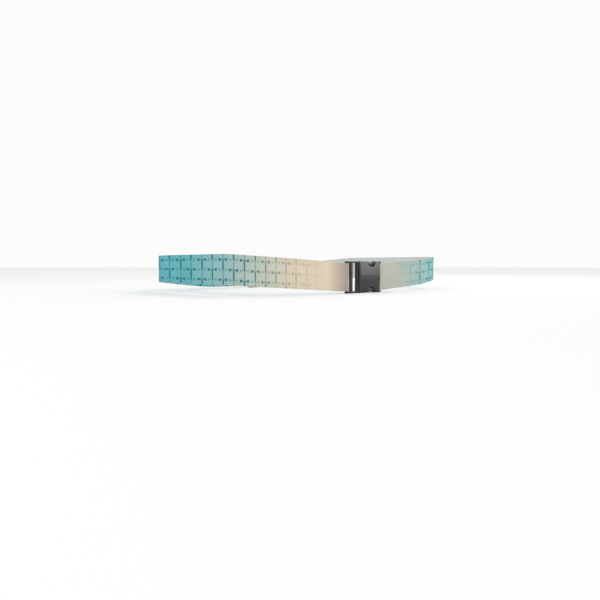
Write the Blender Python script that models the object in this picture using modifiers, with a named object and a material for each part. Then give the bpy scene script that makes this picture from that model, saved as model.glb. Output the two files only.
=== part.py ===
"""Luggage strap: a closed loop of flat webbing with a side-release buckle and a sliding adjuster.

Frame: metres, +X along the front run to the right, +Y to the back, +Z up. The loop stands on the
lower edges of the buckle and of the slider, with the origin under the middle of its bounding box.
"Depth" below is measured from the outer webbing layer's centre plane towards the inside of the loop.
"""
import math

import bmesh
import bpy
from mathutils import Matrix, Vector

MM = 0.001

# Webbing
WEB_WIDTH = 50 * MM
WEB_THICK = 1.4 * MM
FIT_GAP = 0.3 * MM
LAYER_PITCH = WEB_THICK + 0.4 * MM
CUT_GAP = 0.3 * MM
STATION_STEP = 6 * MM

# Shape of the loop, as it sits round a case with cut-off corners
RUN_HALF = 163.6 * MM
CORNER_X = 266.5 * MM
CORNER_DROP = 40 * MM
LOOP_DEPTH = 345 * MM
SIDE_BULGE = 9.2 * MM
RUN_RADIUS = 60 * MM
CORNER_RADIUS = 35 * MM
SIDE_RADIUS = 1400 * MM
RISE = 15 * MM
FRONT_LEVEL_HALF = 48 * MM
BACK_LEVEL_HALF = 125 * MM
RISE_END = 283 * MM

# Hardware common to buckle and slider
FRAME_WIDTH = 57 * MM
RAIL = 3.1 * MM
RAIL_INNER = FRAME_WIDTH / 2 - RAIL
MID_Z = FRAME_WIDTH / 2

# Buckle, socket half
MOUTH_X = -29.5 * MM
SOCKET_LENGTH = 58 * MM
SOCKET_END_X = MOUTH_X + SOCKET_LENGTH
SOCKET_FACE = 3.8 * MM
SOCKET_CROWN = 1.7 * MM
CROWN_POWER = 1.25
SOCKET_BACK = 6.8 * MM
CAVITY_OUT = 2.8 * MM
CAVITY_IN = 4.6 * MM
CAVITY_HALF = 25.5 * MM
SOCKET_END_WALL = 4 * MM
SOCKET_EDGE = 1.3 * MM
NOTCH_X = 5 * MM
NOTCH_RADIUS = 11 * MM
NOTCH_CENTRE = FRAME_WIDTH / 2 + 1.5 * MM
WINDOW_HALF = 10 * MM
SOCKET_RAIL_DEPTHS = (-1.5 * MM, 5.5 * MM)
SOCKET_RAIL_INSET = 0.2 * MM

# Bars that carry webbing
BAR_LENGTH = 4.5 * MM
BAR_THICK = 3.5 * MM
BAR_TURN = BAR_THICK / 2 + FIT_GAP + WEB_THICK / 2
BAR_FLAT = 0.15 * MM
RAIL_EDGE = 1.0 * MM
SETTLE = 20 * MM

# Buckle, plug half
PLUG_LEFT_X = -57.2 * MM
PLUG_RIGHT_X = MOUTH_X - FIT_GAP
PLUG_BAR_X = -54.45 * MM
PLUG_RAIL_DEPTHS = (-2.2 * MM, 6.3 * MM)
RIBBED_BAR = (-49.0 * MM, -42.5 * MM)
RIBBED_DEPTHS = (-1.2 * MM, 2.5 * MM)
RIB_PITCH = 6 * MM
RIB_COUNT = 8
RIB_PROUD = 0.8 * MM
RIB_INSET = 0.9 * MM
PLUG_NECK_DEPTHS = (-2.0 * MM, 3.8 * MM)
PLUG_BASE = (-31.5 * MM, -24.0 * MM)
BASE_CLEAR = 0.4 * MM
TONGUE_DEPTHS = (-1.6 * MM, 3.4 * MM)
TONGUE_END_X = 8 * MM
TONGUE_HALF = 6 * MM
TONGUE_EDGE = 1.5 * MM
PLUG_LOOP_X = -80 * MM

# Latch arms
ARM_THICK = 6 * MM
ARM_WIDTH = 4 * MM
ARM_Z = 23 * MM
ARM_ROOT_X = PLUG_BASE[1] + FIT_GAP + ARM_WIDTH / 2
ARM_TIP_X = 13 * MM
HEAD_OUT = 27.8 * MM
HEAD_DROP = 2.4 * MM
HEAD_DROP_POWER = 2.4
LATCH_GAP = 0.4 * MM

# Socket's webbing bar and seam
SOCKET_BAR_X = SOCKET_END_X + 4.55 * MM
SOCKET_RAIL_END_X = SOCKET_BAR_X + BAR_LENGTH / 2 + 0.5 * MM
TAIL_END_X = 66 * MM
SOCKET_SEAM = (37 * MM, 62 * MM)

# Slider
SLIDER_HALF = 13.5 * MM
SLIDER_BAR = 4.5 * MM
SLIDER_BAR_THICK = 3.0 * MM
SLIDER_TURN = SLIDER_BAR_THICK / 2 + FIT_GAP + WEB_THICK / 2
SLIDER_TAIL_X = -42 * MM
SLIDER_SEAM = (-39 * MM, -24 * MM)
SLIDER_END_THICK = 3.2 * MM

# Where the webbing is divided: beside the pieces that move, and in the middle of its cut-off corners
FRONT_CUT_X = -200 * MM
BACK_CUT_X = -150 * MM
SIDE_CUT_X = 200 * MM

# Thread of the seams
THREAD = 0.6 * MM
SEAM_HALF = 19 * MM

# The outer faces of the socket and of the slider are equally far from the origin
OUTER_FRONT = SOCKET_FACE + SOCKET_CROWN
OUTER_BACK = WEB_THICK / 2 + FIT_GAP + SLIDER_END_THICK
FRONT_Y = -LOOP_DEPTH / 2 + (OUTER_FRONT - OUTER_BACK) / 2
BACK_Y = FRONT_Y + LOOP_DEPTH
CENTRE_Y = (FRONT_Y + BACK_Y) / 2
BUCKLE_MID_X = (PLUG_LEFT_X + SOCKET_RAIL_END_X) / 2


# ---------------------------------------------------------------- scene helpers

def clear_scene():
    for obj in list(bpy.data.objects):
        bpy.data.objects.remove(obj, do_unlink=True)


def new_collection(name):
    collection = bpy.data.collections.new(name)
    bpy.context.scene.collection.children.link(collection)
    return collection


def new_material(name, colour, roughness):
    material = bpy.data.materials.new(name)
    material.use_nodes = True
    shader = material.node_tree.nodes["Principled BSDF"]
    shader.inputs["Base Color"].default_value = (*colour, 1.0)
    shader.inputs["Roughness"].default_value = roughness
    shader.inputs["Metallic"].default_value = 0.0
    return material


def add_object(name, mesh, collection, material=None, location=(0, 0, 0)):
    obj = bpy.data.objects.new(name, mesh)
    obj.location = location
    collection.objects.link(obj)
    if material:
        mesh.materials.append(material)
    return obj


def front(depth):
    """Y of a depth inside the front run."""
    return FRONT_Y + depth


def back(depth):
    """Y of a depth inside the back run."""
    return BACK_Y - depth


# ---------------------------------------------------------------- the loop's centre line

def rounded_outline(corners, step):
    """Points of a closed outline whose corners (x, y, radius) are rounded by arcs."""
    points = []
    for index, (x, y, radius) in enumerate(corners):
        here = Vector((x, y))
        before = Vector(corners[index - 1][:2])
        after = Vector(corners[(index + 1) % len(corners)][:2])
        to_before = (before - here).normalized()
        to_after = (after - here).normalized()
        half_angle = to_before.angle(to_after) / 2
        reach = radius / math.tan(half_angle)
        middle = here + (to_before + to_after).normalized() * radius / math.sin(half_angle)
        start = here + to_before * reach - middle
        turn = math.pi - 2 * half_angle
        count = max(4, math.ceil(turn * radius / step))
        points += [middle + Matrix.Rotation(turn * i / count, 2) @ start for i in range(count + 1)]
    return points


def loop_corners():
    """The outline's corners, anticlockwise from the front run's right end."""
    half_depth = LOOP_DEPTH / 2
    right = [
        (RUN_HALF, -half_depth, RUN_RADIUS),
        (CORNER_X, -half_depth + CORNER_DROP, CORNER_RADIUS),
        (CORNER_X + SIDE_BULGE, 0.0, SIDE_RADIUS),
        (CORNER_X, half_depth - CORNER_DROP, CORNER_RADIUS),
        (RUN_HALF, half_depth, RUN_RADIUS),
    ]
    left = [(-x, -y, radius) for x, y, radius in right]
    return [(x, y + CENTRE_Y, radius) for x, y, radius in right + left]


class Loop:
    """The outer layer's closed centre line, measured in metres along it from (0, FRONT_Y)."""

    def __init__(self):
        outline = rounded_outline(loop_corners(), STATION_STEP)
        self.points = [Vector((0.0, FRONT_Y))] + outline + [Vector((0.0, FRONT_Y))]
        self.lengths = [0.0]
        for a, b in zip(self.points, self.points[1:]):
            self.lengths.append(self.lengths[-1] + (b - a).length)
        self.total = self.lengths[-1]

    def at(self, distance):
        """Point and unit inward normal at a distance along the line."""
        for i in range(len(self.points) - 1):
            if distance <= self.lengths[i + 1] or i == len(self.points) - 2:
                break
        along = (self.points[i + 1] - self.points[i]).normalized()
        point = self.points[i] + along * (distance - self.lengths[i])
        return point, Vector((-along.y, along.x))

    def find(self, x, start, end):
        """Distance between start and end at which the line crosses x, by halving."""
        low, high = start, end
        rising = self.at(end)[0].x > self.at(start)[0].x
        for _ in range(40):
            middle = (low + high) / 2
            if (self.at(middle)[0].x > x) == rising:
                high = middle
            else:
                low = middle
        return (low + high) / 2

    def rise(self, distance):
        """Height of the webbing's middle above its lowest: it is level at the buckle and the slider."""
        from_buckle = min(abs(distance - BUCKLE_MID_X), abs(distance - self.total - BUCKLE_MID_X))
        from_slider = abs(distance - self.total / 2)
        front_share = (from_buckle - FRONT_LEVEL_HALF) / (RISE_END - FRONT_LEVEL_HALF)
        back_share = (from_slider - BACK_LEVEL_HALF) / (RISE_END - BACK_LEVEL_HALF)
        return RISE * min(max(front_share, 0.0), max(back_share, 0.0), 1.0)

    def stations(self, start, end, depth):
        """(x, y, rise) along one layer, evenly spaced."""
        count = max(2, round(abs(end - start) / STATION_STEP))
        rows = []
        for i in range(count + 1):
            distance = start + (end - start) * i / count
            point, inward = self.at(distance)
            rows.append((*(point + inward * depth), self.rise(distance)))
        return rows


def bar_loop(bar_x, flat_half, turn, radius, near_x, far_x, depth, end_depth):
    """(x, depth) of webbing that meets a bar, turns round its far side and comes back beneath it.

    turn is +1 where the webbing comes from the left and -1 where it comes from the right.
    """
    turn_x = bar_x + turn * flat_half
    leave_x = bar_x - turn * flat_half
    rows = [(near_x + (turn_x - near_x) * i / 6, depth) for i in range(6)]
    for i in range(13):
        angle = math.pi * i / 12
        rows.append((turn_x + turn * radius * math.sin(angle), depth + radius * (1 - math.cos(angle))))
    low = depth + 2 * radius
    for i in range(9):
        share = i / 8
        ease = share * share * (3 - 2 * share)
        rows.append((leave_x - turn * SETTLE * share, low + (end_depth - low) * ease))
    last_x = rows[-1][0]
    rows += [(last_x + (far_x - last_x) * i / 3, end_depth) for i in range(1, 4)]
    return rows


# ---------------------------------------------------------------- soft pieces

def ribbon(name, stations, collection, material):
    """Webbing standing on edge along its stations: an open strip, thickened evenly to both sides."""
    mesh = bpy.data.meshes.new(name)
    shape = bmesh.new()
    rows = []
    for x, y, rise in stations:
        low = MID_Z + rise - WEB_WIDTH / 2
        rows.append([shape.verts.new((x, y, low)), shape.verts.new((x, y, low + WEB_WIDTH))])
    for (a, b), (c, d) in zip(rows, rows[1:]):
        shape.faces.new((a, c, d, b))
    shape.to_mesh(mesh)
    shape.free()
    obj = add_object(name, mesh, collection, material)
    thicken = obj.modifiers.new("thickness", "SOLIDIFY")
    thicken.thickness = WEB_THICK
    thicken.offset = 0.0
    thicken.use_even_offset = True
    return obj


def seam(name, span, face_y, outward, collection, material):
    """The thread of a box stitch: a closed line of thread lying on one face of the webbing."""
    curve = bpy.data.curves.new(name, "CURVE")
    curve.dimensions = "3D"
    curve.bevel_depth = THREAD / 2
    curve.bevel_resolution = 1
    y = face_y + outward * (FIT_GAP + THREAD / 2)
    box = [(span[1], -SEAM_HALF), (span[1], SEAM_HALF), (span[0], SEAM_HALF), (span[0], -SEAM_HALF)]
    outline = rounded_outline([(x, z, 2 * MM) for x, z in box], 1 * MM)
    spline = curve.splines.new("POLY")
    spline.points.add(len(outline) - 1)
    for point, (x, z) in zip(spline.points, outline):
        point.co = (x, y, MID_Z + z, 1.0)
    spline.use_cyclic_u = True
    return add_object(name, curve, collection, material)


# ---------------------------------------------------------------- moulded pieces

def block(name, low, high, collection, round_edges=0.0, segments=2):
    """A box between two corners, its edges rounded if asked."""
    mesh = bpy.data.meshes.new(name)
    shape = bmesh.new()
    size = Vector(high) - Vector(low)
    bmesh.ops.create_cube(shape, size=1.0, matrix=Matrix.Diagonal((*size, 1.0)))
    if round_edges:
        bmesh.ops.bevel(shape, geom=shape.edges[:], offset=round_edges, segments=segments,
                        affect="EDGES", profile=0.5)
    shape.to_mesh(mesh)
    shape.free()
    return add_object(name, mesh, collection, location=(Vector(low) + Vector(high)) / 2)


def disc_cutter(name, centre, radius, half_length, collection):
    """A cylinder along Y that cuts a round notch."""
    mesh = bpy.data.meshes.new(name)
    shape = bmesh.new()
    bmesh.ops.create_cone(shape, cap_ends=True, segments=40, radius1=radius, radius2=radius,
                          depth=2 * half_length, matrix=Matrix.Rotation(math.pi / 2, 4, "X"))
    shape.to_mesh(mesh)
    shape.free()
    return add_object(name, mesh, collection, location=centre)


def combine(target, tool, operation):
    """Join a helper to the target, or cut it away; the helper is hidden from the result."""
    modifier = target.modifiers.new(tool.name, "BOOLEAN")
    modifier.operation = operation
    modifier.object = tool
    tool.hide_render = True
    tool.display_type = "WIRE"


def smooth_rounds(obj):
    obj.data.shade_smooth()
    obj.data.set_sharp_from_angle(angle=math.radians(35))


def socket_body(parts, cutters, material):
    """The buckle's hollow half: crowned outer face, mouth, latch windows, thumb notches, webbing bar."""
    mesh = bpy.data.meshes.new("socket_body")
    shape = bmesh.new()
    size = Vector((SOCKET_LENGTH, SOCKET_FACE + SOCKET_BACK, FRAME_WIDTH))
    centre = Vector((MOUTH_X + SOCKET_LENGTH / 2, front((SOCKET_BACK - SOCKET_FACE) / 2), MID_Z))
    bmesh.ops.create_cube(shape, size=1.0, matrix=Matrix.Diagonal((*size, 1.0)))
    upright = [e for e in shape.edges if abs(e.verts[0].co.z - e.verts[1].co.z) > size.z / 2]
    bmesh.ops.subdivide_edges(shape, edges=upright, cuts=7, use_grid_fill=True)
    for vert in shape.verts:
        if vert.co.y < 0:
            across = vert.co.z / (size.z / 2)
            vert.co.y -= SOCKET_CROWN * (1 - abs(across) ** CROWN_POWER)
    shape.to_mesh(mesh)
    shape.free()
    body = add_object("socket_body", mesh, parts, material, centre)
    rounding = body.modifiers.new("edges", "BEVEL")
    rounding.width = SOCKET_EDGE
    rounding.segments = 3
    rounding.limit_method = "ANGLE"
    rounding.angle_limit = math.radians(50)

    cavity = block("cut_cavity",
                   (MOUTH_X - 5 * MM, front(-CAVITY_OUT), MID_Z - CAVITY_HALF),
                   (SOCKET_END_X - SOCKET_END_WALL, front(CAVITY_IN), MID_Z + CAVITY_HALF), cutters)
    combine(body, cavity, "DIFFERENCE")
    window = block("cut_windows",
                   (NOTCH_X - WINDOW_HALF, front(-CAVITY_OUT + FIT_GAP), MID_Z - FRAME_WIDTH),
                   (NOTCH_X + WINDOW_HALF, front(CAVITY_IN - FIT_GAP), MID_Z + FRAME_WIDTH), cutters)
    combine(body, window, "DIFFERENCE")
    for side, word in ((1, "upper"), (-1, "lower")):
        notch = disc_cutter("cut_notch_" + word, (NOTCH_X, front(0), MID_Z + side * NOTCH_CENTRE),
                            NOTCH_RADIUS, 20 * MM, cutters)
        combine(body, notch, "DIFFERENCE")
        inner, outer = sorted((side * RAIL_INNER, side * (FRAME_WIDTH / 2 - SOCKET_RAIL_INSET)))
        rail = block("socket_rail_" + word,
                     (SOCKET_END_X - SOCKET_END_WALL / 2, front(SOCKET_RAIL_DEPTHS[0]), MID_Z + inner),
                     (SOCKET_RAIL_END_X, front(SOCKET_RAIL_DEPTHS[1]), MID_Z + outer), cutters, RAIL_EDGE)
        combine(body, rail, "UNION")
    bar = webbing_bar("socket_bar", SOCKET_BAR_X, front(BAR_TURN), BAR_THICK, cutters)
    combine(body, bar, "UNION")
    return body


def webbing_bar(name, x, y, thick, collection):
    """A round-edged bar across the frame, which webbing is folded over."""
    reach = RAIL_INNER + RAIL / 2
    return block(name,
                 (x - BAR_LENGTH / 2, y - thick / 2, MID_Z - reach),
                 (x + BAR_LENGTH / 2, y + thick / 2, MID_Z + reach),
                 collection, thick / 2 - BAR_FLAT, 4)


def side_rail(name, side, ends, depths, y_of, collection):
    """One long side of a webbing frame, at the top (side +1) or at the bottom (side -1)."""
    inner = MID_Z + side * RAIL_INNER
    outer = MID_Z + side * FRAME_WIDTH / 2
    ys = sorted(y_of(depth) for depth in depths)
    return block(name, (ends[0], ys[0], min(inner, outer)), (ends[1], ys[1], max(inner, outer)),
                 collection, RAIL_EDGE)


def plug_frame(parts, cutters, material):
    """The buckle's other half without its arms: rails, webbing bar, ribbed bar, base and tongue."""
    reach = RAIL_INNER + RAIL / 2
    frame = block("plug_frame",
                  (RIBBED_BAR[0], front(RIBBED_DEPTHS[0]), MID_Z - reach),
                  (RIBBED_BAR[1], front(RIBBED_DEPTHS[1]), MID_Z + reach), parts, 0.6 * MM)
    frame.data.materials.append(material)
    for side, word in ((1, "upper"), (-1, "lower")):
        rail = side_rail("plug_rail_" + word, side, (PLUG_LEFT_X, PLUG_RIGHT_X),
                         PLUG_RAIL_DEPTHS, front, cutters)
        combine(frame, rail, "UNION")
    for i in range(RIB_COUNT):
        z = MID_Z + (i - (RIB_COUNT - 1) / 2) * RIB_PITCH
        rib = block("plug_rib_%d" % (i + 1),
                    (RIBBED_BAR[0] + RIB_INSET, front(RIBBED_DEPTHS[0] - RIB_PROUD), z - RIB_PITCH / 4),
                    (RIBBED_BAR[1] - RIB_INSET, front(0), z + RIB_PITCH / 4), cutters)
        combine(frame, rib, "UNION")
    bar = webbing_bar("plug_bar", PLUG_BAR_X, front(BAR_TURN), BAR_THICK, cutters)
    combine(frame, bar, "UNION")
    neck = block("plug_neck", (PLUG_BASE[0], front(PLUG_NECK_DEPTHS[0]), MID_Z - reach),
                 (PLUG_RIGHT_X - 0.1 * MM, front(PLUG_NECK_DEPTHS[1]), MID_Z + reach), cutters)
    combine(frame, neck, "UNION")
    base = block("plug_base",
                 (PLUG_BASE[0] + 0.5 * MM, front(-CAVITY_OUT + BASE_CLEAR), MID_Z - CAVITY_HALF + BASE_CLEAR),
                 (PLUG_BASE[1], front(CAVITY_IN - BASE_CLEAR), MID_Z + CAVITY_HALF - BASE_CLEAR), cutters)
    combine(frame, base, "UNION")
    tongue = block("plug_tongue", (PLUG_BASE[1] - 2 * MM, front(TONGUE_DEPTHS[0]), MID_Z - TONGUE_HALF),
                   (TONGUE_END_X, front(TONGUE_DEPTHS[1]), MID_Z + TONGUE_HALF), cutters, TONGUE_EDGE)
    combine(frame, tongue, "UNION")
    return frame


def arm_outline():
    """(along, out) of an arm from its root's centre: root arc, arm, shoulder, head and tip."""
    half = ARM_WIDTH / 2
    shoulder = NOTCH_X - WINDOW_HALF + LATCH_GAP - ARM_ROOT_X
    tip = ARM_TIP_X - ARM_ROOT_X
    head_out = HEAD_OUT - ARM_Z
    rows = []
    for i in range(9):
        angle = math.pi / 2 + math.pi * i / 8
        rows.append((half * math.cos(angle), half * math.sin(angle)))
    rows += [(tip - 3 * MM, -half), (tip - 1 * MM, -half + 1 * MM), (tip, half)]
    head_length = tip - 1 * MM - shoulder
    for i in range(9):
        share = 1 - i / 8
        rows.append((shoulder + head_length * share, head_out - HEAD_DROP * share ** HEAD_DROP_POWER))
    rows += [(shoulder, half + 0.5 * MM), (shoulder - 0.5 * MM, half)]
    return rows


def latch_arm(name, side, parts, material):
    """A sprung arm, its origin on the axis at its root; side is +1 at the top, -1 at the bottom."""
    curve = bpy.data.curves.new(name + "_outline", "CURVE")
    curve.dimensions = "2D"
    curve.fill_mode = "BOTH"
    curve.extrude = ARM_THICK / 2
    rows = arm_outline()
    spline = curve.splines.new("POLY")
    spline.points.add(len(rows) - 1)
    for point, (along, out) in zip(spline.points, rows):
        point.co = (along, side * out, 0.0, 1.0)
    spline.use_cyclic_u = True
    outline = bpy.data.objects.new(name + "_outline", curve)
    parts.objects.link(outline)
    bpy.context.view_layer.update()
    evaluated = outline.evaluated_get(bpy.context.evaluated_depsgraph_get())
    mesh = bpy.data.meshes.new_from_object(evaluated)
    bpy.data.objects.remove(outline, do_unlink=True)
    shape = bmesh.new()
    shape.from_mesh(mesh)
    bmesh.ops.remove_doubles(shape, verts=shape.verts[:], dist=0.00001)
    shape.to_mesh(mesh)
    shape.free()
    mesh.name = name
    middle = (CAVITY_IN - CAVITY_OUT) / 2
    arm = add_object(name, mesh, parts, material, (ARM_ROOT_X, front(middle), MID_Z + side * ARM_Z))
    arm.rotation_euler.x = math.pi / 2
    return arm


def slider_frame(parts, cutters, material):
    """The adjuster: end bars outside the webbing and a centre bar inside it, between two rails."""
    reach = RAIL_INNER + RAIL / 2
    near = -WEB_THICK / 2 - FIT_GAP
    bar_depth = LAYER_PITCH + SLIDER_TURN
    frame = webbing_bar("slider_frame", 0.0, back(bar_depth), SLIDER_BAR_THICK, parts)
    frame.data.materials.append(material)
    for side, word in ((1, "upper"), (-1, "lower")):
        rail = side_rail("slider_rail_" + word, side, (-SLIDER_HALF, SLIDER_HALF),
                         (near - SLIDER_END_THICK, bar_depth + SLIDER_BAR_THICK / 2), back, cutters)
        combine(frame, rail, "UNION")
    for side, word in ((-1, "left"), (1, "right")):
        ends = sorted((side * SLIDER_HALF, side * (SLIDER_HALF - SLIDER_BAR)))
        bar = block("slider_bar_" + word, (ends[0], back(near), MID_Z - reach),
                    (ends[1], back(near - SLIDER_END_THICK), MID_Z + reach), cutters, 0.8 * MM)
        combine(frame, bar, "UNION")
    return frame


# ---------------------------------------------------------------- assembly

def build():
    clear_scene()
    parts = new_collection("luggage_strap")
    cutters = new_collection("cutters_and_joined_shapes")
    printed = new_material("printed_webbing", (0.55, 0.66, 0.60), 0.85)
    plastic = new_material("black_plastic", (0.03, 0.03, 0.032), 0.42)
    thread = new_material("sewing_thread", (0.72, 0.70, 0.62), 0.8)

    loop = Loop()

    def fold(rows, y_of, middle_x):
        """Stations of a fold: its rise follows the run that it lies on."""
        start = 0.0 if y_of is front else loop.total / 2
        return [(x, y_of(depth), loop.rise(start + x - middle_x)) for x, depth in rows]

    quarter = loop.total / 4
    socket_leg_x = SOCKET_SEAM[1] + 6 * MM
    front_cut = loop.find(FRONT_CUT_X, 3 * quarter, loop.total)
    back_cut = loop.find(BACK_CUT_X, 2 * quarter, 3 * quarter)
    right_front = loop.find(SIDE_CUT_X, 0.0, quarter)
    right_back = loop.find(SIDE_CUT_X, quarter, 2 * quarter)
    left_back = loop.find(-SIDE_CUT_X, 2 * quarter, 3 * quarter)
    plug_cut = loop.total + PLUG_LOOP_X
    slider_leg = loop.find(SLIDER_TAIL_X, 2 * quarter, 3 * quarter)
    flat_half = BAR_LENGTH / 2 - BAR_THICK / 2
    slider_flat_half = BAR_LENGTH / 2 - SLIDER_BAR_THICK / 2

    socket_fold = bar_loop(SOCKET_BAR_X, flat_half, -1, BAR_TURN, socket_leg_x, TAIL_END_X, 0.0, LAYER_PITCH)
    first_run = fold(socket_fold[::-1], front, 0.0)
    first_run += loop.stations(socket_leg_x + STATION_STEP, right_front, 0.0)
    ribbon("webbing_socket_run", first_run, parts, printed)
    ribbon("webbing_right_side", loop.stations(right_front + CUT_GAP, right_back, 0.0), parts, printed)
    ribbon("webbing_back_run", loop.stations(right_back + CUT_GAP, left_back, 0.0), parts, printed)
    ribbon("webbing_left_side", loop.stations(left_back + CUT_GAP, front_cut, 0.0), parts, printed)
    ribbon("webbing_front_run", loop.stations(front_cut + CUT_GAP, plug_cut - CUT_GAP, 0.0), parts, printed)
    plug_fold = bar_loop(PLUG_BAR_X, flat_half, 1, BAR_TURN, PLUG_LOOP_X, PLUG_LOOP_X, 0.0, LAYER_PITCH)
    ribbon("webbing_plug_loop", fold(plug_fold, front, 0.0), parts, printed)
    ribbon("webbing_return_front", loop.stations(front_cut + CUT_GAP, plug_cut - CUT_GAP, LAYER_PITCH),
           parts, printed)
    ribbon("webbing_return", loop.stations(back_cut + CUT_GAP, front_cut, LAYER_PITCH), parts, printed)
    ribbon("webbing_return_back", loop.stations(slider_leg + CUT_GAP, back_cut, LAYER_PITCH), parts, printed)
    slider_fold = bar_loop(0.0, slider_flat_half, 1, SLIDER_TURN, SLIDER_TAIL_X, SLIDER_TAIL_X,
                           LAYER_PITCH, 2 * LAYER_PITCH)
    ribbon("webbing_slider_loop", fold(slider_fold, back, 0.0), parts, printed)

    smooth_rounds(socket_body(parts, cutters, plastic))
    smooth_rounds(plug_frame(parts, cutters, plastic))
    smooth_rounds(latch_arm("latch_arm_upper", 1, parts, plastic))
    smooth_rounds(latch_arm("latch_arm_lower", -1, parts, plastic))
    smooth_rounds(slider_frame(parts, cutters, plastic))

    seam("socket_seam", SOCKET_SEAM, front(-WEB_THICK / 2), -1, parts, thread)
    seam("slider_seam", SLIDER_SEAM, back(2 * LAYER_PITCH + WEB_THICK / 2), -1, parts, thread)


build()
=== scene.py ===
"""Looks of the luggage strap: printed webbing, side-release buckle, slider and sewn seams.

Lengths are metres and are written in millimetres times MM. "Distance" runs along the outer layer of
the webbing from the middle of the front run towards the right. "Depth" is measured from the outer
layer's centre plane towards the inside of the loop. Face A of the webbing is the printed one.
"""

import math

import bmesh
import bpy
import numpy as np
from mathutils import Matrix, Vector


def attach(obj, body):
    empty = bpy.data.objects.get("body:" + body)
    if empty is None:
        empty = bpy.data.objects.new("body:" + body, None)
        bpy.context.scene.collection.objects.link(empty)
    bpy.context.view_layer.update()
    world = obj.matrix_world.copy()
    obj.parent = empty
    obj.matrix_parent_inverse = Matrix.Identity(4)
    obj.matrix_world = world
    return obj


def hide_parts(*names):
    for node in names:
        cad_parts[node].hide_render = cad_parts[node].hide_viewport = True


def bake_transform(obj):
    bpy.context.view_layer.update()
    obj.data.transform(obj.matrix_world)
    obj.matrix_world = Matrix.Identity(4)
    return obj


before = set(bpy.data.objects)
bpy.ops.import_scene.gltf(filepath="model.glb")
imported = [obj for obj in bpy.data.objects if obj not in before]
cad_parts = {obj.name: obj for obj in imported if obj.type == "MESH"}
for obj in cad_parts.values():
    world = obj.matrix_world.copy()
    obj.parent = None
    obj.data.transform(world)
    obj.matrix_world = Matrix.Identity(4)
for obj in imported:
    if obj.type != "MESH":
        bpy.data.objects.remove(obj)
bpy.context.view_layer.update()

MM = 0.001

# Webbing
WEB_WIDTH = 50 * MM
WEB_HALF_THICK = 0.7 * MM
LAYER_PITCH = 1.8 * MM
FIT_GAP = 0.3 * MM
LINE_STEP = 1 * MM
STATION_STEP = 3 * MM
LINE_SMOOTHING = 5 * MM
RISE_SMOOTHING = 12 * MM

# The loop's outline
RUN_HALF = 163.6 * MM
CORNER_X = 266.5 * MM
CORNER_DROP = 40 * MM
LOOP_DEPTH = 345 * MM
SIDE_BULGE = 9.2 * MM
RUN_RADIUS = 60 * MM
CORNER_RADIUS = 35 * MM
SIDE_RADIUS = 1400 * MM
RISE = 15 * MM
FRONT_LEVEL_HALF = 48 * MM
BACK_LEVEL_HALF = 125 * MM
RISE_END = 283 * MM

# Hardware
FRAME_WIDTH = 57 * MM
MID_Z = FRAME_WIDTH / 2
RAIL = 3.1 * MM
RAIL_INNER = FRAME_WIDTH / 2 - RAIL
BAR_LENGTH = 4.5 * MM
BAR_THICK = 3.5 * MM
BAR_TURN = BAR_THICK / 2 + FIT_GAP + WEB_HALF_THICK
SETTLE = 20 * MM
SLIDER_BAR_THICK = 3 * MM
SLIDER_TURN = SLIDER_BAR_THICK / 2 + FIT_GAP + WEB_HALF_THICK
SLIDER_HALF = 13.5 * MM
SLIDER_BAR = 4.5 * MM
SLIDER_END_THICK = 3.2 * MM

# Socket half of the buckle
MOUTH_X = -29.5 * MM
SOCKET_END_X = 28.5 * MM
SOCKET_FACE = 3.8 * MM
SOCKET_CROWN = 1.7 * MM
CROWN_POWER = 1.25
CROWN_STRIPS = 24
SOCKET_EDGE = 1.3 * MM
SOCKET_BACK = 6.8 * MM
SOCKET_BAR_X = 33.05 * MM
SOCKET_RAIL_END_X = 35.8 * MM
CAVITY_OUT = 2.8 * MM
CAVITY_IN = 4.6 * MM
CAVITY_HALF = 25.5 * MM
SOCKET_END_WALL = 4 * MM
NOTCH_X = 5 * MM
NOTCH_RADIUS = 11 * MM
NOTCH_CENTRE = FRAME_WIDTH / 2 + 1.5 * MM
NOTCH_CHAMFER_START = (-SOCKET_FACE + 0.6 * MM, SOCKET_BACK - 0.8 * MM)
WINDOW_HALF = 10 * MM
CHANNEL_HALF = 2.5 * MM
CHANNEL_DEEP = 0.5 * MM
CHANNEL_SLOPE = 0.9 * MM
POCKET_DEEP = 0.9 * MM
POCKET_PITCH = 11 * MM
POCKET_HALF = 4.2 * MM
MOUTH_RIM = 3 * MM
MOUTH_RIM_PROUD = 0.25 * MM
MOUTH_FLARE = 0.9 * MM
MOUTH_LEAD_IN = 0.6 * MM
FACE_GRID = 2 * MM
SOCKET_RAIL_DEPTHS = (-1.5 * MM, 5.5 * MM)
SOCKET_RAIL_INSET = 0.2 * MM

# Plug half of the buckle
PLUG_LEFT_X = -57.2 * MM
PLUG_RIGHT_X = -29.8 * MM
PLUG_BAR_X = -54.45 * MM
PLUG_RAIL_DEPTHS = (-2.2 * MM, 6.3 * MM)
RIBBED_BAR = (-49 * MM, -42.5 * MM)
RIBBED_DEPTHS = (-1.2 * MM, 2.5 * MM)
RIB_PITCH = 6 * MM
RIB_COUNT = 8
RIB_PROUD = 0.9 * MM
RIB_INSET = 0.7 * MM
PLUG_NECK_DEPTHS = (-2.0 * MM, 3.8 * MM)
PLUG_BASE = (-31.5 * MM, -24 * MM)
BASE_CLEAR = 0.4 * MM
TONGUE_DEPTHS = (-1.6 * MM, 3.4 * MM)
TONGUE_END_X = 8 * MM
TONGUE_HALF = 6 * MM
TONGUE_HOLLOW = 0.9 * MM
ARM_THICK = 6 * MM
ARM_EDGE = 0.45 * MM
ARM_WIDTH = 4 * MM
ARM_MID = (CAVITY_IN - CAVITY_OUT) / 2
ARM_Z = 23 * MM
ARM_ROOT_X = -21.7 * MM
ARM_TIP_X = 13 * MM
HEAD_OUT = 27.8 * MM
HEAD_DROP = 2.4 * MM
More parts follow.
